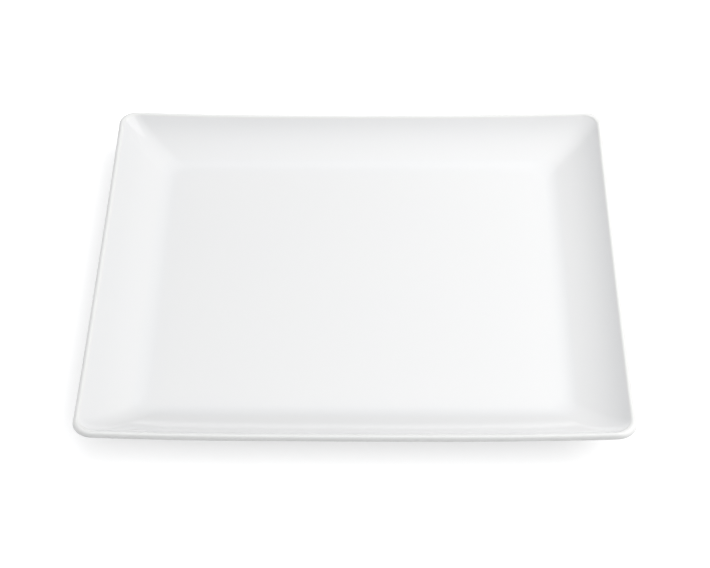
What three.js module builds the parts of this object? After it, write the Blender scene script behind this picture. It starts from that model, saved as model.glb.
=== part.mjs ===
// A rectangular salad plate of glazed porcelain, in millimetres, +Z up.
// The origin lies on the table under the middle of the plate, and X runs along its longer side.
// The plate is lofted: a section through one wall, from the well over the rim to the base, is swept round
// a rounded rectangle, and the two coats of glaze are offset from that section.
import * as THREE from "three";

// Finished outline, over the glaze
const PLATE_WIDTH = 230;
const PLATE_DEPTH = 210;
const RIM_CORNER_RADIUS = 8;

// Heights above the table
const RIM_HEIGHT = 18.4; // top of the rim at the middle of a side
const CORNER_LIFT = 1.9; // how much higher the rim stands at its corners
const FOOT_HEIGHT = 2.6; // underside of the fired body inside the foot ring

// Thicknesses
const WELL_THICKNESS = 4.2; // fired body under the well
const RIM_THICKNESS = 2.9; // over the glaze
const GLAZE_THICKNESS = 0.3;

// Wall: how far in it starts, and how steep it is
const WALL_RUN = 25; // from the outline to the line where wall and well would meet with no fillet
const WELL_FILLET_RADIUS = 24;
const WELL_CORNER_RADIUS = 7;
const WALL_START_SLOPE = 17; // degrees, beside the well
const WALL_RIM_SLOPE = 43; // degrees, at the rim
const WALL_BACK_SLOPE = 12; // degrees, on the back where it reaches the foot
const LOW_HOLD = 0.5; // share of the wall's length that keeps to its lower slope, so that it curls late
const RIM_HOLD = 0.25; // the same for the slope at the rim

// Foot ring
const FOOT_SETBACK = 4; // from the edge of the flat well in to the foot's outer corner
const FOOT_WIDTH = 4;
const BASE_CORNER_RADIUS = 6; // of the flat base inside the foot, whose corners are concentric with it
const FOOT_DRAFT = 25; // degrees off upright
const FOOT_ROOT_FILLET = 1; // tangent length of the hollow where the foot leaves the base
const FOOT_EDGE_ROUND = 0.8; // tangent length of the bare rounded edges
const FILLET_SHARE = 0.45; // the most of a straight side that a fillet at one end of it may take

// How fast the rim climbs to its corners: a higher power keeps the middle of each side level for longer
const LIFT_POWER = 3;
const WALL_LIFT_POWER = 2;

// Facets
const STRAIGHT_STEPS = 1;
const SIDE_STEPS = 6;
const CORNER_STEPS = 4;
const FILLET_STEPS = 4;
const WALL_STEPS = 6;
const RIM_STEPS = 6;
const FOOT_ROUND_STEPS = 3;

const wallStart = THREE.MathUtils.degToRad(WALL_START_SLOPE);
const wallEnd = THREE.MathUtils.degToRad(WALL_RIM_SLOPE);
const backEnd = THREE.MathUtils.degToRad(WALL_BACK_SLOPE);
const draft = THREE.MathUtils.degToRad(FOOT_DRAFT);

// Places in the section: x is the inset from the finished outline, y is the height above the table
const rimRadius = RIM_THICKNESS / 2 - GLAZE_THICKNESS;
const rimCentre = new THREE.Vector2(GLAZE_THICKNESS + rimRadius, RIM_HEIGHT - GLAZE_THICKNESS - rimRadius);
const wellTop = FOOT_HEIGHT + WELL_THICKNESS;
const filletTangent = WELL_FILLET_RADIUS * Math.tan(wallStart / 2);
const wellEdge = WALL_RUN + filletTangent;
const footOuter = wellEdge + FOOT_SETBACK;
const footInner = footOuter + FOOT_WIDTH;
const footSpread = FOOT_HEIGHT * Math.tan(draft);
const footSide = FOOT_HEIGHT / Math.cos(draft);
const rootFillet = Math.min(FOOT_ROOT_FILLET, FILLET_SHARE * footSide);
const edgeRound = Math.min(FOOT_EDGE_ROUND, FILLET_SHARE * Math.min(footSide, FOOT_WIDTH));
const baseEdge = footInner + footSpread + rootFillet;

// A point some way along a direction in the section
function along(from, direction, distance) {
  return from.clone().addScaledVector(direction, distance);
}

// A smooth stretch that leaves one point and reaches another in given directions, and keeps to each of
// them over a share of the way
function sweep(from, leaving, leavingHold, to, reaching, reachingHold) {
  const way = from.distanceTo(to);
  return new THREE.CubicBezierCurve(
    from, along(from, leaving, leavingHold * way), along(to, reaching, -reachingHold * way), to,
  );
}

// A corner of the section rounded over a tangent length on both of its sides
function rounded(corner, arriving, leaving, tangent) {
  const from = along(corner, arriving, -tangent);
  return new THREE.QuadraticBezierCurve(from, corner, along(corner, leaving, tangent));
}

// Plan radius of the corners on the face and on the back, which share the rim's
const bodyRimInset = GLAZE_THICKNESS;
const bodyRimRadius = RIM_CORNER_RADIUS - GLAZE_THICKNESS;

function faceCornerRadius(inset) {
  const share = (inset - bodyRimInset) / (wellEdge - bodyRimInset);
  return THREE.MathUtils.lerp(bodyRimRadius, WELL_CORNER_RADIUS, share);
}

function footCornerRadius(inset) {
  return BASE_CORNER_RADIUS + baseEdge - inset;
}

function backCornerRadius(inset) {
  const share = (inset - bodyRimInset) / (footOuter - bodyRimInset);
  return THREE.MathUtils.lerp(bodyRimRadius, footCornerRadius(footOuter), Math.min(share, 1));
}

// The fired body's section, in order from the edge of the well over the rim to the edge of the base
const level = new THREE.Vector2(1, 0);
const downBack = new THREE.Vector2(Math.cos(wallEnd), -Math.sin(wallEnd));
const outToFoot = new THREE.Vector2(Math.cos(backEnd), -Math.sin(backEnd));
const downFoot = new THREE.Vector2(Math.sin(draft), -Math.cos(draft));
const upFoot = new THREE.Vector2(Math.sin(draft), Math.cos(draft));
const upWall = new THREE.Vector2(-Math.cos(wallStart), Math.sin(wallStart));
const upRim = downBack.clone().negate();

const quarter = Math.PI / 2;
const wellFillet = new THREE.ArcCurve(
  wellEdge, wellTop + WELL_FILLET_RADIUS, WELL_FILLET_RADIUS, -quarter, -quarter - wallStart, true,
);
const rimRound = new THREE.ArcCurve(
  rimCentre.x, rimCentre.y, rimRadius, quarter - wallEnd, quarter - wallEnd + Math.PI, false,
);
const outerRoot = rounded(
  new THREE.Vector2(footOuter - footSpread, FOOT_HEIGHT), outToFoot, downFoot, rootFillet,
);
const outerEdge = rounded(new THREE.Vector2(footOuter, 0), downFoot, level, edgeRound);
const innerEdge = rounded(new THREE.Vector2(footInner, 0), level, upFoot, edgeRound);
const innerRoot = rounded(
  new THREE.Vector2(footInner + footSpread, FOOT_HEIGHT), upFoot, level, rootFillet,
);
const wallFace = sweep(wellFillet.getPoint(1), upWall, LOW_HOLD, rimRound.getPoint(0), upRim, RIM_HOLD);
const wallBack = sweep(rimRound.getPoint(1), downBack, RIM_HOLD, outerRoot.v0, outToFoot, LOW_HOLD);
const outerSide = new THREE.LineCurve(outerRoot.v2, outerEdge.v0);
const footLand = new THREE.LineCurve(outerEdge.v2, innerEdge.v0);
const innerSide = new THREE.LineCurve(innerEdge.v2, innerRoot.v0);

const glazedStretches = [
  { curve: wellFillet, steps: FILLET_STEPS, cornerRadius: faceCornerRadius },
  { curve: wallFace, steps: WALL_STEPS, cornerRadius: faceCornerRadius },
  { curve: rimRound, steps: RIM_STEPS, cornerRadius: backCornerRadius },
  { curve: wallBack, steps: WALL_STEPS, cornerRadius: backCornerRadius },
  { curve: outerRoot, steps: FOOT_ROUND_STEPS, cornerRadius: backCornerRadius },
  { curve: outerSide, steps: STRAIGHT_STEPS, cornerRadius: backCornerRadius },
];
const bareStretches = [
  { curve: outerEdge, steps: FOOT_ROUND_STEPS, cornerRadius: footCornerRadius },
  { curve: footLand, steps: STRAIGHT_STEPS, cornerRadius: footCornerRadius },
  { curve: innerEdge, steps: FOOT_ROUND_STEPS, cornerRadius: footCornerRadius },
];
const baseStretches = [
  { curve: innerSide, steps: STRAIGHT_STEPS, cornerRadius: footCornerRadius },
  { curve: innerRoot, steps: FOOT_ROUND_STEPS, cornerRadius: footCornerRadius },
];

// How much of the corner lift reaches a given inset: none on the well and the foot, all of it at the rim
function wallLift(inset) {
  const share = THREE.MathUtils.clamp((wellEdge - inset) / (wellEdge - rimCentre.x), 0, 1);
  return CORNER_LIFT * share ** WALL_LIFT_POWER;
}

// Stations of the section: each holds what one ring of the loft needs
function stationsOf(stretches) {
  const stations = [];
  for (const { curve, steps, cornerRadius } of stretches) {
    for (let step = stations.length ? 1 : 0; step <= steps; step += 1) {
      const point = curve.getPoint(step / steps);
      const tangent = curve.getTangent(step / steps);
      stations.push({
        inset: point.x,
        height: point.y,
        normal: new THREE.Vector2(tangent.y, -tangent.x),
        radius: cornerRadius(point.x),
        lift: wallLift(point.x),
      });
    }
  }
  return stations;
}

// The same station on the outside of the glaze
function glazed(station) {
  const inset = station.inset + GLAZE_THICKNESS * station.normal.x;
  return {
    ...station,
    inset,
    height: station.height + GLAZE_THICKNESS * station.normal.y,
    radius: station.radius + station.inset - inset,
  };
}

// A rounded rectangle seen from above, anticlockwise, with its side points closer together near the corners
function roundedRectangle(halfX, halfY, radius) {
  const arcs = [[1, 1], [-1, 1], [-1, -1], [1, -1]].map(([signX, signY], corner) => {
    const start = corner * quarter;
    return new THREE.ArcCurve(
      signX * (halfX - radius), signY * (halfY - radius), radius, start, start + quarter, false,
    );
  });
  return arcs.flatMap((arc, corner) => {
    const side = new THREE.LineCurve(arc.getPoint(1), arcs[(corner + 1) % arcs.length].getPoint(0));
    const points = arc.getPoints(CORNER_STEPS);
    for (let step = 1; step < SIDE_STEPS; step += 1) {
      points.push(side.getPoint((1 - Math.cos((Math.PI * step) / SIDE_STEPS)) / 2));
    }
    return points;
  });
}

// How near a point of a ring is to the ring's square corner: 0 at the middle of a side, 1 at the corner
function nearCorner(shareX, shareY) {
  return Math.abs(shareX * shareY) ** LIFT_POWER;
}

const cornerCut = RIM_CORNER_RADIUS * (1 - Math.SQRT1_2);
const nearestAtRim = nearCorner(1 - (2 * cornerCut) / PLATE_WIDTH, 1 - (2 * cornerCut) / PLATE_DEPTH);

function ringOf(station) {
  const halfX = PLATE_WIDTH / 2 - station.inset;
  const halfY = PLATE_DEPTH / 2 - station.inset;
  return roundedRectangle(halfX, halfY, station.radius).map((point) => {
    const lift = (station.lift * nearCorner(point.x / halfX, point.y / halfY)) / nearestAtRim;
    return new THREE.Vector3(point.x, point.y, station.height + lift);
  });
}

// Triangles between two rings
function band(from, to) {
  return from.flatMap((point, index) => {
    const next = (index + 1) % from.length;
    return [[point, to[index], to[next]], [point, to[next], from[next]]];
  });
}

// Triangles over a run of rings
function skin(rings) {
  return rings.slice(1).flatMap((ring, index) => band(rings[index], ring));
}

// A flat disc inside a level ring, facing up
function disc(ring) {
  const middle = new THREE.Vector3(0, 0, ring[0].z);
  return ring.map((point, index) => [middle, point, ring[(index + 1) % ring.length]]);
}

// The same triangles, facing the other way
function turnedOver(triangles) {
  return triangles.map(([first, second, third]) => [first, third, second]);
}

function piece(name, triangles, finish) {
  const geometry = new THREE.BufferGeometry().setFromPoints(triangles.flat());
  geometry.computeVertexNormals();
  const mesh = new THREE.Mesh(geometry, new THREE.MeshStandardMaterial(finish));
  mesh.name = name;
  return mesh;
}

const bodyStations = stationsOf([...glazedStretches, ...bareStretches, ...baseStretches]);
const faceStations = stationsOf(glazedStretches);
const baseStations = stationsOf(baseStretches);

// Fired body: well, walls, rim and foot ring in one piece
function porcelainBody() {
  const rings = bodyStations.map(ringOf);
  const triangles = [...disc(rings[0]), ...skin(rings), ...turnedOver(disc(rings.at(-1)))];
  return piece("porcelain_body", triangles, { color: 0xefece4, roughness: 0.75, metalness: 0 });
}

// Glaze over the face, the rim and the back, ending where the foot was wiped bare
function plateGlaze() {
  const seat = faceStations.map(ringOf);
  const coat = faceStations.map(glazed).map(ringOf);
  const triangles = [
    ...disc(coat[0]),
    ...skin(coat),
    ...band(coat.at(-1), seat.at(-1)),
    ...turnedOver(skin(seat)),
    ...turnedOver(disc(seat[0])),
  ];
  return piece("plate_glaze", triangles, { color: 0xf8f9f8, roughness: 0.08, metalness: 0 });
}

// Glaze inside the foot ring
function baseGlaze() {
  const seat = baseStations.map(ringOf);
  const coat = baseStations.map(glazed).map(ringOf);
  const triangles = [
    ...band(seat[0], coat[0]),
    ...skin(coat),
    ...turnedOver(disc(coat.at(-1))),
    ...turnedOver(skin(seat)),
    ...disc(seat.at(-1)),
  ];
  return piece("base_glaze", triangles, { color: 0xf5f6f5, roughness: 0.12, metalness: 0 });
}

const plate = new THREE.Group();
plate.add(porcelainBody(), plateGlaze(), baseGlaze());

export default plate;
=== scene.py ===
# %% [markdown]
# # A glazed porcelain salad plate
# The plate is a nearly square rectangle of white porcelain: a flat well, hollow walls that meet in soft
# mitred corners, and a thin round rim that stands a little higher at its four corners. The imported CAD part
# already has these shapes in flat facets. This script makes the same three bodies again as fine smooth
# meshes, gives them their finishes, and sets up the floor, the light and the camera.

import math

import bmesh
import bpy
import numpy as np
from mathutils import Matrix, Vector


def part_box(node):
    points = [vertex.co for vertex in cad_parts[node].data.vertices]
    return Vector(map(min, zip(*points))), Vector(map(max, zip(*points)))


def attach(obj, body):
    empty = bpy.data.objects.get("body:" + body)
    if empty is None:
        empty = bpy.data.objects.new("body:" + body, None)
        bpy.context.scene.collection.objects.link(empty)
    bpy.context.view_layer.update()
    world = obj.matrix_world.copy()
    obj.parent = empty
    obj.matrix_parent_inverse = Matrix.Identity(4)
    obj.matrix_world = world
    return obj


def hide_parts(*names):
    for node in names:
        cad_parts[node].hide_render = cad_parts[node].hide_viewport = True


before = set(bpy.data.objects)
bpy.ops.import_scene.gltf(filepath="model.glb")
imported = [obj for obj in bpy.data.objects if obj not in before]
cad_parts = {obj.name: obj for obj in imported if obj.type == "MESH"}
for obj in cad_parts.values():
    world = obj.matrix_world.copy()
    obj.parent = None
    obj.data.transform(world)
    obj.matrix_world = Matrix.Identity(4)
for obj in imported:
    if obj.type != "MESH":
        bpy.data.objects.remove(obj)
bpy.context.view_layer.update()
MM = 0.001

for node in sorted(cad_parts):
    low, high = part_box(node)
    print(node, "spans", [round((b - a) / MM, 2) for a, b in zip(low, high)], "mm")

# %% [markdown]
# ## Camera
# The photograph looks down on the plate from the front with a long lens. The angles, the distance and the
# focal length were fitted together to the plate's outline and to the creases round its well. Blender wants
# the focal length in millimetres on a 36 mm wide sensor, so the fitted length in pixels is scaled by the
# picture's width. The camera's axes are worked out by hand because it is also rolled by a little.

# %% Camera
IMAGE_WIDTH = 710
FOCAL_PIXELS = 2042.7
CAMERA_ELEVATION = math.radians(43.236)
CAMERA_AZIMUTH = math.radians(1.402)
CAMERA_ROLL = math.radians(-0.838)
CAMERA_DISTANCE = 908.9 * MM
CAMERA_AIM = Vector((-1.141, -1.942, 7.1)) * MM

camera_data = bpy.data.cameras.new("camera")
camera_data.sensor_width = 36
camera_data.lens = FOCAL_PIXELS * camera_data.sensor_width / IMAGE_WIDTH
camera = bpy.data.objects.new("camera", camera_data)
bpy.context.collection.objects.link(camera)

backward = Vector((
    math.sin(CAMERA_AZIMUTH) * math.cos(CAMERA_ELEVATION),
    -math.cos(CAMERA_AZIMUTH) * math.cos(CAMERA_ELEVATION),
    math.sin(CAMERA_ELEVATION),
))
rightward = Vector((0, 0, 1)).cross(backward).normalized()
upward = backward.cross(rightward)
turn = Matrix((rightward, upward, backward)).transposed()
roll = Matrix.Rotation(CAMERA_ROLL, 3, "Z")
camera.matrix_world = Matrix.LocRotScale(CAMERA_AIM + CAMERA_DISTANCE * backward, turn @ roll, None)
bpy.context.scene.camera = camera
stand = camera.matrix_world.translation
print("camera lens", round(camera_data.lens, 1), "mm, at", [round(v, 3) for v in stand])

# %% [markdown]
# ## The section through one wall
# A plate like this is pressed in a mould, and its wall has the same section nearly all the way round. So
# the section is drawn once, as a line of points from the edge of the well, up the hollow wall, over the
# round rim, down the back to the foot, under the bare foot and up to the base. Each point holds its inset
# from the plate's outline and its height above the table, in millimetres. The overall size is read from
# the CAD part, so that the meshes fit it.

# %% Sizes of the section
glaze_low, glaze_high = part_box("plate_glaze")
PLATE_WIDTH = (glaze_high[0] - glaze_low[0]) / MM
PLATE_DEPTH = (glaze_high[1] - glaze_low[1]) / MM
PLATE_HEIGHT = glaze_high[2] / MM
CORNER_LIFT = 1.9
RIM_HEIGHT = PLATE_HEIGHT - CORNER_LIFT
RIM_THICKNESS = 2.9
GLAZE_THICKNESS = 0.3
FOOT_HEIGHT = 2.6
WELL_TOP = 6.8
WALL_RUN = 25
WELL_FILLET_RADIUS = 24
WALL_START_SLOPE = math.radians(17)
WALL_RIM_SLOPE = math.radians(43)
WALL_BACK_SLOPE = math.radians(12)

rim_radius = RIM_THICKNESS / 2 - GLAZE_THICKNESS
rim_centre = np.array([GLAZE_THICKNESS + rim_radius, RIM_HEIGHT - GLAZE_THICKNESS - rim_radius])
well_edge = WALL_RUN + WELL_FILLET_RADIUS * math.tan(WALL_START_SLOPE / 2)
print("outline", round(PLATE_WIDTH, 2), "x", round(PLATE_DEPTH, 2), "mm")
print("rim", round(RIM_HEIGHT, 2), "mm high at the middle of a side")

# %% Curves of the section
def heading(angle):
    """A direction in the section: 0 runs in towards the middle of the plate, and 90 degrees is up."""
    return np.array([math.cos(angle), math.sin(angle)])


def arc(centre, radius, start, end, steps):
    angles = np.linspace(start, end, steps + 1)
    return centre + radius * np.column_stack([np.cos(angles), np.sin(angles)])


def bezier(handles, steps):
    """A curve through the first and last of three or four handles, by repeated halving of the way."""
    share = np.linspace(0, 1, steps + 1)[:, None]
    rows = [np.asarray(handle, float) for handle in handles]
    while len(rows) > 1:
        rows = [a + (b - a) * share for a, b in zip(rows, rows[1:])]
    return rows[0]


def sweep(start, leaving, leaving_hold, end, reaching, reaching_hold, steps):
    """A smooth stretch between two points that keeps to the direction of each end over a share of the way."""
    way = np.linalg.norm(end - start)
    handles = [start, start + leaving_hold * way * leaving, end - reaching_hold * way * reaching, end]
    return bezier(handles, steps)


# %% Face, rim and back of the wall
UP_WALL = heading(math.pi - WALL_START_SLOPE)
UP_RIM = heading(math.pi - WALL_RIM_SLOPE)
LOW_HOLD = 0.5
RIM_HOLD = 0.25
FILLET_STEPS = 14
WALL_STEPS = 34
RIM_STEPS = 26

fillet_centre = np.array([well_edge, WELL_TOP + WELL_FILLET_RADIUS])
quarter = math.pi / 2
rim_start = quarter - WALL_RIM_SLOPE
well_fillet = arc(
    fillet_centre, WELL_FILLET_RADIUS, -quarter, -quarter - WALL_START_SLOPE, FILLET_STEPS,
)
rim_round = arc(rim_centre, rim_radius, rim_start, rim_start + math.pi, RIM_STEPS)
wall_face = sweep(well_fillet[-1], UP_WALL, LOW_HOLD, rim_round[0], UP_RIM, RIM_HOLD, WALL_STEPS)
print("the wall rises", round(wall_face[-1, 1] - well_fillet[0, 1], 2), "mm above the well")

# %% [markdown]
# ## Foot ring
# Plates stand on a low ring, which keeps the hot or rough underside off the table. Its sides lean a little
# so that the clay leaves the mould, its edges are worn round, and its underside is wiped free of glaze
# before firing. The photograph doesn't show it, so its size is that of common plates.

# %% Foot ring
FOOT_SETBACK = 4
FOOT_WIDTH = 4
FOOT_DRAFT = math.radians(25)
FOOT_ROOT_FILLET = 1
FOOT_EDGE_ROUND = 0.8
ROUND_STEPS = 8
FOOT_SIDE_STEPS = 12

OUT_TO_FOOT = heading(-WALL_BACK_SLOPE)
DOWN_FOOT = heading(FOOT_DRAFT - quarter)
UP_FOOT = heading(quarter - FOOT_DRAFT)
LEVEL = heading(0)

foot_spread = FOOT_HEIGHT * math.tan(FOOT_DRAFT)
foot_outer = well_edge + FOOT_SETBACK
foot_inner = foot_outer + FOOT_WIDTH
base_edge = foot_inner + foot_spread + FOOT_ROOT_FILLET


def rounded(corner, arriving, leaving, tangent):
    corner = np.array(corner, float)
    return bezier([corner - tangent * arriving, corner, corner + tangent * leaving], ROUND_STEPS)


outer_root = rounded((foot_outer - foot_spread, FOOT_HEIGHT), OUT_TO_FOOT, DOWN_FOOT, FOOT_ROOT_FILLET)
outer_edge = rounded((foot_outer, 0), DOWN_FOOT, LEVEL, FOOT_EDGE_ROUND)
inner_edge = rounded((foot_inner, 0), LEVEL, UP_FOOT, FOOT_EDGE_ROUND)
inner_root = rounded((foot_inner + foot_spread, FOOT_HEIGHT), UP_FOOT, LEVEL, FOOT_ROOT_FILLET)
outer_side = bezier([outer_root[-1], outer_edge[0]], FOOT_SIDE_STEPS)
inner_side = bezier([inner_edge[-1], inner_root[0]], FOOT_SIDE_STEPS)
wall_back = sweep(
    rim_round[-1], heading(-WALL_RIM_SLOPE), RIM_HOLD, outer_root[0], OUT_TO_FOOT, LOW_HOLD, WALL_STEPS,
)


def joined(*stretches):
    """One line of points from stretches that meet end to end."""
    return np.vstack([stretches[0]] + [stretch[1:] for stretch in stretches[1:]])


face_section = joined(well_fillet, wall_face, rim_round, wall_back, outer_root, outer_side)
bare_section = joined(outer_edge, inner_edge)
base_section = joined(inner_side, inner_root)
print("section points:", len(face_section), "glazed,", len(bare_section), "bare")
print("and", len(base_section), "inside the foot")

# %% [markdown]
# ## Rings round the plate
# Each point of the section is carried round a rounded rectangle, and these rings are the rows of the mesh.
# On the face the corners are small at the rim and at the well, so the walls meet in a soft mitre. On the
# back they grow towards the foot. The rim also climbs towards its corners, which the camera sees as long
# shallow curves along the sides; the lift fades down the wall and is gone at the well.

# %% Corner radii
RIM_CORNER_RADIUS = 8
WELL_CORNER_RADIUS = 7
BASE_CORNER_RADIUS = 6
rim_inset = GLAZE_THICKNESS
rim_corner = RIM_CORNER_RADIUS - GLAZE_THICKNESS


def foot_corner(inset):
    return BASE_CORNER_RADIUS + base_edge - inset


def face_corner(inset):
    return np.interp(inset, [rim_inset, well_edge], [rim_corner, WELL_CORNER_RADIUS])


def back_corner(inset):
    return np.interp(inset, [rim_inset, foot_outer], [rim_corner, foot_corner(foot_outer)])


face_points = len(well_fillet) + len(wall_face) - 1
face_insets = face_section[:, 0]
face_radii = np.concatenate([
    face_corner(face_insets[:face_points]), back_corner(face_insets[face_points:]),
])
print("corner radii from", round(face_radii.min(), 1), "to", round(face_radii.max(), 1), "mm")

# %% One ring
CORNER_STEPS = 14
SIDE_STEPS = 44
LIFT_POWER = 3
WALL_LIFT_POWER = 2
CORNER_SIGNS = ((1, 1), (-1, 1), (-1, -1), (1, -1))


def outline(half_x, half_y, radius):
    """A rounded rectangle seen from above, with its side points closer together near the corners."""
    corners = []
    for index, (sign_x, sign_y) in enumerate(CORNER_SIGNS):
        centre = np.array([sign_x * (half_x - radius), sign_y * (half_y - radius)])
        corners.append(arc(centre, radius, index * quarter, (index + 1) * quarter, CORNER_STEPS))
    shares = (1 - np.cos(np.pi * np.arange(1, SIDE_STEPS) / SIDE_STEPS)) / 2
    runs = []
    for corner, following in zip(corners, corners[1:] + corners[:1]):
        runs += [corner, corner[-1] + shares[:, None] * (following[0] - corner[-1])]
    return np.vstack(runs)


def near_corner(share_x, share_y):
    """0 at the middle of a side and 1 at the square corner."""
    return np.abs(share_x * share_y) ** LIFT_POWER


corner_cut = RIM_CORNER_RADIUS * (1 - math.sqrt(0.5))
nearest_at_rim = near_corner(1 - 2 * corner_cut / PLATE_WIDTH, 1 - 2 * corner_cut / PLATE_DEPTH)


def ring(inset, height, radius, lift_inset):
    """One ring round the plate. Its corners are lifted as the porcelain is at lift_inset."""
    half_x = PLATE_WIDTH / 2 - inset
    half_y = PLATE_DEPTH / 2 - inset
    flat = outline(half_x, half_y, radius)
    climb = np.clip((well_edge - lift_inset) / (well_edge - rim_centre[0]), 0, 1) ** WALL_LIFT_POWER
    lift = CORNER_LIFT * climb * near_corner(flat[:, 0] / half_x, flat[:, 1] / half_y) / nearest_at_rim
    return np.column_stack([flat, height + lift])


rim_outline = outline(PLATE_WIDTH / 2, PLATE_DEPTH / 2, RIM_CORNER_RADIUS)
print("each ring has", len(rim_outline), "points")

# %% [markdown]
# ## Glaze as a coat
# Glaze is a thin layer of glass, so it is made as a closed skin: the section is pushed out along its normals
# by the thickness of the coat, and the inner side follows the porcelain. Where the foot was wiped, the melted
# edge draws back into a round lip, so the coat thins out there along a quarter of an ellipse.

# %% Coats over the section
GLAZE_LIP = 0.55


def normals(section):
    """Directions out of the porcelain, from the way the section runs."""
    run = np.gradient(section, axis=0)
    run /= np.linalg.norm(run, axis=1)[:, None]
    return np.column_stack([run[:, 1], -run[:, 0]])


def lip(section):
    """How full the coat is: 1 over most of the section, and 0 at its last point."""
    steps = np.linalg.norm(np.diff(section, axis=0), axis=1)
    to_end = np.concatenate([np.cumsum(steps[::-1])[::-1], [0]])
    return np.sqrt(1 - (1 - np.clip(to_end / GLAZE_LIP, 0, 1)) ** 2)


def rings(section, radii, lift_insets=None):
    lift_insets = section[:, 0] if lift_insets is None else lift_insets
    return [ring(x, z, r, at) for (x, z), r, at in zip(section, radii, lift_insets)]


def coat_rings(section, radii, fullness):
    coat = section + GLAZE_THICKNESS * fullness[:, None] * normals(section)
    return rings(coat, radii + section[:, 0] - coat[:, 0], section[:, 0])


# %% [markdown]
# ## Meshes
# A loft joins ring to ring with quads. The flat well and the flat base are filled with smaller copies of
# their edge ring, so that the quads stay even, and a small fan closes the middle. Each mesh is closed, so
# its normals can be turned outwards by Blender itself.

# %% Loft
FILL_RINGS = 11
FAN_SHARE = 0.06
FILL_SHARES = np.linspace(1, FAN_SHARE, FILL_RINGS + 1)[1:]
SHARP_ANGLE = math.radians(60)


def fill(edge):
    """Copies of a level ring that shrink towards the middle of the plate."""
    return [edge * (share, share, 1) for share in FILL_SHARES]


def loft(name, rows, pooling):
    """A closed mesh through rows of rings, with the depth of pooled glaze kept on its points."""
    mesh_builder = bmesh.new()
    pool_layer = mesh_builder.verts.layers.float.new("pooling")
    grid = []
    for row, depth in zip(rows, pooling):
        grid.append([mesh_builder.verts.new(Vector(point) * MM) for point in row])
        for vert in grid[-1]:
            vert[pool_layer] = depth
    for upper, lower in zip(grid, grid[1:]):
        for index in range(len(upper)):
            after = (index + 1) % len(upper)
            mesh_builder.faces.new((upper[index], lower[index], lower[after], upper[after]))
    for edge, height in ((grid[0], rows[0][0, 2]), (grid[-1], rows[-1][0, 2])):
        middle = mesh_builder.verts.new((0, 0, height * MM))
        for index in range(len(edge)):
            mesh_builder.faces.new((middle, edge[index], edge[(index + 1) % len(edge)]))
    bmesh.ops.recalc_face_normals(mesh_builder, faces=mesh_builder.faces)
    mesh = bpy.data.meshes.new(name)
    mesh_builder.to_mesh(mesh)
    mesh_builder.free()
    mesh.shade_smooth()
    mesh.set_sharp_from_angle(angle=SHARP_ANGLE)
    piece = bpy.data.objects.new(name, mesh)
    bpy.context.collection.objects.link(piece)
    print(name, "has", len(mesh.polygons), "faces")
    return piece


# %% [markdown]
# ## The three bodies
# The porcelain runs through the whole section. The upper coat covers the face, the rim and the back, and the
# lower one lies inside the foot ring. Melted glaze gathers in hollows and draws thin over edges, and each
# point keeps how much of it has pooled there, for the colour of the finish: from 1 in tight hollows, through
# 0 on flat ground, to -1 over the rim.

# %% Pooled glaze
FULL_POOL_RADIUS = 12


def pooled(section):
    """Pooling from the curve of the section: positive in hollows and negative over rounded edges.

    A curve as tight as the full radius, or tighter, counts as 1 or -1.
    """
    out = normals(section)
    bend = np.gradient(np.unwrap(np.arctan2(out[:, 1], out[:, 0])))
    step = np.linalg.norm(np.gradient(section, axis=0), axis=1)
    return np.clip(-bend / step * FULL_POOL_RADIUS, -1, 1)


# %% Porcelain body
bare_radii = foot_corner(bare_section[:, 0])
base_radii = foot_corner(base_section[:, 0])
face_seat = rings(face_section, face_radii)
bare_rows = rings(bare_section, bare_radii)
base_seat = rings(base_section, base_radii)

body_rows = fill(face_seat[0])[::-1] + face_seat + bare_rows[1:] + base_seat[1:] + fill(base_seat[-1])
porcelain = loft("porcelain", body_rows, np.zeros(len(body_rows)))

# %% Upper coat of glaze
face_coat = coat_rings(face_section, face_radii, lip(face_section))
coat_rows = fill(face_coat[0])[::-1] + face_coat
seat_rows = fill(face_seat[0])[::-1] + face_seat[:-1]
face_pool = np.concatenate([np.zeros(len(FILL_SHARES)), pooled(face_section)])
upper_glaze = loft(
    "upper_glaze", coat_rows + seat_rows[::-1], np.concatenate([face_pool, face_pool[:-1][::-1]]),
)

# %% Lower coat of glaze
base_lip = lip(base_section[::-1])[::-1]
base_coat = coat_rings(base_section, base_radii, base_lip)
base_coat_rows = base_coat + fill(base_coat[-1])
base_seat_rows = base_seat[1:] + fill(base_seat[-1])
base_pool = np.concatenate([pooled(base_section), np.zeros(len(FILL_SHARES))])
lower_glaze = loft(
    "lower_glaze", base_seat_rows[::-1] + base_coat_rows, np.concatenate([base_pool[1:][::-1], base_pool]),
)

# %% [markdown]
# ## Finishes
# Colours are written as sRGB hex values, the way a paint chart or a picture editor gives them. Blender's
# shaders work in linear light, so one function turns them over. A second small function adds a shader node,
# sets its values and joins its inputs, which keeps each material readable as a list of layers.

# %% Colour and nodes
def colour(hex_value):
    parts = [int(hex_value[start:start + 2], 16) / 255 for start in (1, 3, 5)]
    linear = [v / 12.92 if v <= 0.04045 else ((v + 0.055) / 1.055) ** 2.4 for v in parts]
    return (*linear, 1)


def add_node(tree, kind, inputs=None, **settings):
    """Adds a node. An input is given a value, or another node's output to join to."""
    made = tree.nodes.new(kind)
    for name, value in settings.items():
        setattr(made, name, value)
    for name, value in (inputs or {}).items():
        if isinstance(value, bpy.types.NodeSocket):
            tree.links.new(value, made.inputs[name])
        else:
            made.inputs[name].default_value = value
    return made


def new_material(name):
    material = bpy.data.materials.new(name)
    material.use_nodes = True
    material.node_tree.nodes.clear()
    return material, material.node_tree


def per_metre(size_mm):
    """A texture's scale for a pattern of the given size, since the plate's coordinates are in metres."""
    return 1 / (size_mm * MM)


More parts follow.
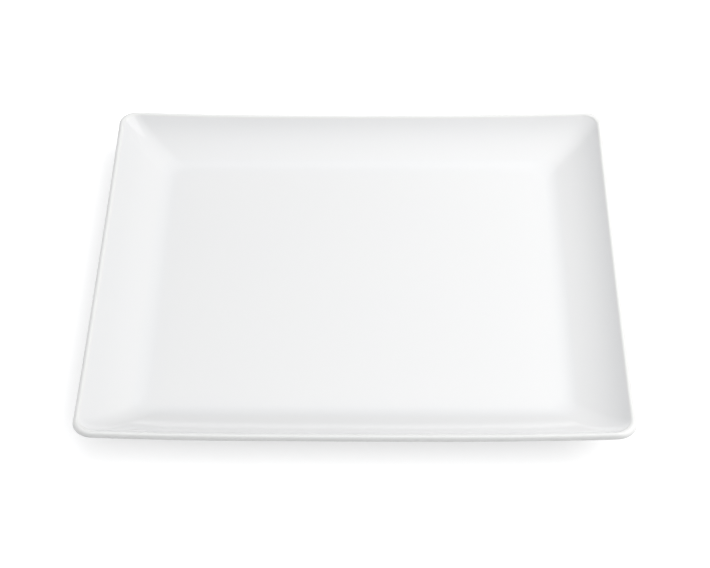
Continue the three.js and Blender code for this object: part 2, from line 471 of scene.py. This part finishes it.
# %% [markdown]
# ## Gloss glaze over white porcelain
# The glaze is a clear glass, fired until it flows smooth. The eye sees a clean, nearly neutral white with
# sharp, pale reflections, very slight waves in them from the way the melt settled, and a trace more colour
# where the glass is deep. A plate in use also carries hairline marks from cutlery, which show only as a
# slightly duller gloss. Glass has an IOR of about 1.5. The sizes of the patterns are in millimetres.

# %% Gloss glaze
GLAZE_WHITE = "#F4F4F3"
GLAZE_CLOUD = "#F3F3F3"
GLAZE_POOL = "#F1F2F3"
GLAZE_THIN = "#F5F5F3"
CLOUD_SIZE, MARK_SIZE, WAVE_SIZE = 45, 6, 9
WAVE_HEIGHT = 0.05
WAVE_STRENGTH = 0.03
POOL_TINT = 0.8
GLASS_IOR = 1.5
# A Mix node has sockets for numbers, vectors and colours. These are the places of its factor and its colours.
MIX_FACTOR, MIX_A, MIX_B, MIX_RESULT = 0, 6, 7, 2


def gloss_glaze(name, roughness_low, roughness_high):
    material, tree = new_material(name)
    place = add_node(tree, "ShaderNodeTexCoord").outputs["Object"]
    clouds = add_node(
        tree, "ShaderNodeTexNoise", {"Vector": place, "Scale": per_metre(CLOUD_SIZE), "Detail": 2.0},
    )
    ground = add_node(
        tree, "ShaderNodeMix",
        {MIX_FACTOR: clouds.outputs["Fac"], MIX_A: colour(GLAZE_WHITE), MIX_B: colour(GLAZE_CLOUD)},
        data_type="RGBA",
    )
    pooling = add_node(tree, "ShaderNodeAttribute", attribute_name="pooling").outputs["Fac"]
    deep = add_node(tree, "ShaderNodeMapRange", {"Value": pooling, "To Max": POOL_TINT})
    thin = add_node(tree, "ShaderNodeMapRange", {"Value": pooling, "From Max": -1.0, "To Max": POOL_TINT})
    hollows = add_node(
        tree, "ShaderNodeMix",
        {MIX_FACTOR: deep.outputs[0], MIX_A: ground.outputs[MIX_RESULT], MIX_B: colour(GLAZE_POOL)},
        data_type="RGBA",
    )
    edges = add_node(
        tree, "ShaderNodeMix",
        {MIX_FACTOR: thin.outputs[0], MIX_A: hollows.outputs[MIX_RESULT], MIX_B: colour(GLAZE_THIN)},
        data_type="RGBA",
    )
    marks = add_node(
        tree, "ShaderNodeTexNoise", {"Vector": place, "Scale": per_metre(MARK_SIZE), "Detail": 6.0},
    )
    roughness = add_node(
        tree, "ShaderNodeMapRange",
        {"Value": marks.outputs["Fac"], "To Min": roughness_low, "To Max": roughness_high},
    )
    waves = add_node(
        tree, "ShaderNodeTexNoise", {"Vector": place, "Scale": per_metre(WAVE_SIZE), "Detail": 1.0},
    )
    bump = add_node(
        tree, "ShaderNodeBump",
        {"Height": waves.outputs["Fac"], "Strength": WAVE_STRENGTH, "Distance": WAVE_HEIGHT * MM},
    )
    shader = add_node(
        tree, "ShaderNodeBsdfPrincipled",
        {
            "Base Color": edges.outputs[MIX_RESULT],
            "Roughness": roughness.outputs[0],
            "Normal": bump.outputs[0],
            "IOR": GLASS_IOR,
        },
    )
    add_node(tree, "ShaderNodeOutputMaterial", {"Surface": shader.outputs[0]})
    return material


face_finish = gloss_glaze("gloss_glaze", roughness_low=0.02, roughness_high=0.05)
base_finish = gloss_glaze("base_gloss_glaze", roughness_low=0.04, roughness_high=0.09)
upper_glaze.data.materials.append(face_finish)
lower_glaze.data.materials.append(base_finish)
for finish in (face_finish, base_finish):
    print(finish.name, "has", len(finish.node_tree.nodes), "nodes")

# %% [markdown]
# ## Bare fired porcelain
# The wiped foot shows the clay itself: warm white, quite smooth but matt, with a fine grain like an eggshell
# and grey scuffs from tables. The real grain is about 0.1 mm; it is drawn at 0.5 mm so that it shows.

# %% Bare porcelain
BISCUIT = "#E9E4D9"
BISCUIT_SHADE = "#DDD6C8"
SCUFF = "#A9A49B"
GRAIN_SIZE, RUB_SIZE = 0.5, 7
GRAIN_HEIGHT = 0.05
GRAIN_STRENGTH = 0.5
SCUFF_START, SCUFF_FULL, SCUFF_TINT = 0.55, 0.8, 0.55
SMOOTHEST, ROUGHEST = 0.6, 0.8
PORCELAIN_IOR = 1.5

biscuit, tree = new_material("bare_porcelain")
place = add_node(tree, "ShaderNodeTexCoord").outputs["Object"]
grain = add_node(
    tree, "ShaderNodeTexNoise", {"Vector": place, "Scale": per_metre(GRAIN_SIZE), "Detail": 3.0},
)
clay = add_node(
    tree, "ShaderNodeMix",
    {MIX_FACTOR: grain.outputs["Fac"], MIX_A: colour(BISCUIT), MIX_B: colour(BISCUIT_SHADE)},
    data_type="RGBA",
)
rubs = add_node(tree, "ShaderNodeTexNoise", {"Vector": place, "Scale": per_metre(RUB_SIZE), "Detail": 5.0})
scuffing = add_node(
    tree, "ShaderNodeMapRange",
    {"Value": rubs.outputs["Fac"], "From Min": SCUFF_START, "From Max": SCUFF_FULL, "To Max": SCUFF_TINT},
)
scuffed = add_node(
    tree, "ShaderNodeMix",
    {MIX_FACTOR: scuffing.outputs[0], MIX_A: clay.outputs[MIX_RESULT], MIX_B: colour(SCUFF)},
    data_type="RGBA",
)
dullness = add_node(
    tree, "ShaderNodeMapRange", {"Value": grain.outputs["Fac"], "To Min": SMOOTHEST, "To Max": ROUGHEST},
)
tooth = add_node(
    tree, "ShaderNodeBump",
    {"Height": grain.outputs["Fac"], "Strength": GRAIN_STRENGTH, "Distance": GRAIN_HEIGHT * MM},
)
shader = add_node(
    tree, "ShaderNodeBsdfPrincipled",
    {
        "Base Color": scuffed.outputs[MIX_RESULT],
        "Roughness": dullness.outputs[0],
        "Normal": tooth.outputs[0],
        "IOR": PORCELAIN_IOR,
    },
)
add_node(tree, "ShaderNodeOutputMaterial", {"Surface": shader.outputs[0]})
porcelain.data.materials.append(biscuit)
print(biscuit.name, "has", len(tree.nodes), "nodes")

# %% [markdown]
# ## Floor
# The plate stands on a sheet of pale paper. Paper scatters light evenly, so it is a plain diffuse surface
# that keeps the plate's shadow. The paper is a pale grey, so that little light comes back up under the rim.
# The camera, and what shiny glaze mirrors, see extra white on it, so that the open floor reads as a white
# page while the light on the plate stays level. An Ambient Occlusion node fades the extra white close to the
# plate: this is painted shade. It looks towards the front right, so the painted shadow lies under the near
# rim and along the left side.

# %% Floor
FLOOR_SIZE = 6.0
FLOOR_DROP = 0.1
PAPER_GREY = "#CACACA"
PAPER_LIFT = 0.75
COVER_REACH = 28
COVER_SAMPLES = 16
PAINTED_SHADE_LEAN = (0.5, -0.85, 0.15)

floor_mesh = bpy.data.meshes.new("floor")
half = FLOOR_SIZE / 2
drop = -FLOOR_DROP * MM
floor_mesh.from_pydata(
    [(-half, -half, drop), (half, -half, drop), (half, half, drop), (-half, half, drop)],
    [], [(0, 1, 2, 3)],
)
floor = bpy.data.objects.new("floor", floor_mesh)
bpy.context.collection.objects.link(floor)

paper, tree = new_material("white_paper")
rays = add_node(tree, "ShaderNodeLightPath").outputs
seen = add_node(
    tree, "ShaderNodeMath", {0: rays["Is Camera Ray"], 1: rays["Is Glossy Ray"]}, operation="MAXIMUM",
)
seen = add_node(
    tree, "ShaderNodeMath", {0: seen.outputs[0], 1: rays["Is Transmission Ray"]}, operation="MAXIMUM",
)
# Painted shadow: the extra white is faded where the plate covers the paper, leaning to the front right.
painted_shade_lean = add_node(tree, "ShaderNodeCombineXYZ", dict(enumerate(PAINTED_SHADE_LEAN)))
painted_shade_ao = add_node(
    tree, "ShaderNodeAmbientOcclusion",
    {"Distance": COVER_REACH * MM, "Normal": painted_shade_lean.outputs[0]}, samples=COVER_SAMPLES,
)
white = add_node(
    tree, "ShaderNodeMath", {0: painted_shade_ao.outputs["AO"], 1: PAPER_LIFT}, operation="MULTIPLY",
)
lift = add_node(tree, "ShaderNodeMath", {0: seen.outputs[0], 1: white.outputs[0]}, operation="MULTIPLY")
scatter = add_node(tree, "ShaderNodeBsdfDiffuse", {"Color": colour(PAPER_GREY)})
glow = add_node(tree, "ShaderNodeEmission", {"Strength": lift.outputs[0]})
both = add_node(tree, "ShaderNodeAddShader", {0: scatter.outputs[0], 1: glow.outputs[0]})
add_node(tree, "ShaderNodeOutputMaterial", {"Surface": both.outputs[0]})
floor_mesh.materials.append(paper)
print("floor", FLOOR_SIZE, "m wide,", FLOOR_DROP, "mm under the foot")

# %% [markdown]
# ## Light
# Product photographers light glossy china softly from all round, because a bare lamp would leave hot spots on
# it. One softbox stands close by on the right: it makes the well brighter on that side and leaves the right
# wall in shade. All other light comes from the room, which is dim but for glows with no edges: one behind,
# mirrored in the flat of the well, one overhead, one low on the left, one at the front right, and a narrow
# one behind on the right, which the foot of the left wall mirrors. Their strengths were fitted to the
# brightness of the photograph. A white strip round the horizon, which fades upwards, is the far end of the
# table.

# %% Softbox
def softbox(name, place, aim, size, watts, tint):
    light = bpy.data.lights.new(name, "AREA")
    light.shape = "SQUARE"
    light.size = size
    light.energy = watts
    light.color = colour(tint)[:3]
    lamp = bpy.data.objects.new(name, light)
    bpy.context.collection.objects.link(lamp)
    lamp.location = place
    lamp.rotation_euler = (Vector(aim) - Vector(place)).to_track_quat("-Z", "Y").to_euler()
    lamp.visible_camera = False
    print(name, watts, "W,", round(lamp.location.length, 2), "m away")


softbox("right_softbox", place=(0.4, 0.05, 0.5), aim=(0, 0, 0), size=0.6, watts=2.0, tint="#FFFEFC")

# %% Room
ROOM_TINT = "#FCFDFF"
ROOM_LEVEL = 0.12
STRIP_TOP, STRIP_END = math.radians(0.5), math.radians(7.5)
WIDE, NARROW = 12, 40
# Each glow has its azimuth from +X and its elevation in degrees, its strength and its sharpness.
GLOWS = (
    (90, 60, 1.64, WIDE), (0, 90, 0.89, WIDE), (180, 10, 1.6, WIDE), (315, 30, 1.95, WIDE),
    (66, 39, 0.55, NARROW),
)

world = bpy.data.worlds.new("studio")
bpy.context.scene.world = world
world.use_nodes = True
tree = world.node_tree
tree.nodes.clear()
direction = add_node(tree, "ShaderNodeTexCoord").outputs["Generated"]
height = add_node(tree, "ShaderNodeSeparateXYZ", {0: direction}).outputs["Z"]
level = add_node(
    tree, "ShaderNodeMapRange",
    {
        "Value": height, "From Min": math.sin(STRIP_TOP), "From Max": math.sin(STRIP_END),
        "To Min": 1.0, "To Max": ROOM_LEVEL,
    },
).outputs[0]
for azimuth, elevation, strength, sharpness in GLOWS:
    across = math.cos(math.radians(elevation))
    middle = (
        across * math.cos(math.radians(azimuth)),
        across * math.sin(math.radians(azimuth)),
        math.sin(math.radians(elevation)),
    )
    facing = add_node(tree, "ShaderNodeVectorMath", {0: direction, 1: middle}, operation="DOT_PRODUCT")
    fall = add_node(
        tree, "ShaderNodeMath",
        {0: facing.outputs["Value"], 1: sharpness, 2: -sharpness}, operation="MULTIPLY_ADD",
    )
    glow = add_node(tree, "ShaderNodeMath", {0: fall.outputs[0]}, operation="EXPONENT")
    level = add_node(
        tree, "ShaderNodeMath", {0: glow.outputs[0], 1: strength, 2: level}, operation="MULTIPLY_ADD",
    ).outputs[0]
background = add_node(tree, "ShaderNodeBackground", {"Color": colour(ROOM_TINT), "Strength": level})
add_node(tree, "ShaderNodeOutputWorld", {"Surface": background.outputs[0]})
bpy.context.scene.view_settings.view_transform = "Standard"
print("room with", len(GLOWS), "glows")

# %% [markdown]
# ## Hand over
# The three meshes stand for the three CAD nodes and ride on the plate's only body.

# %% Hand over
for piece, node, finish in (
    (porcelain, "porcelain_body", "fired_porcelain"),
    (upper_glaze, "plate_glaze", "white_glaze"),
    (lower_glaze, "base_glaze", "base_glaze"),
):
    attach(piece, "root")
    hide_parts(node)
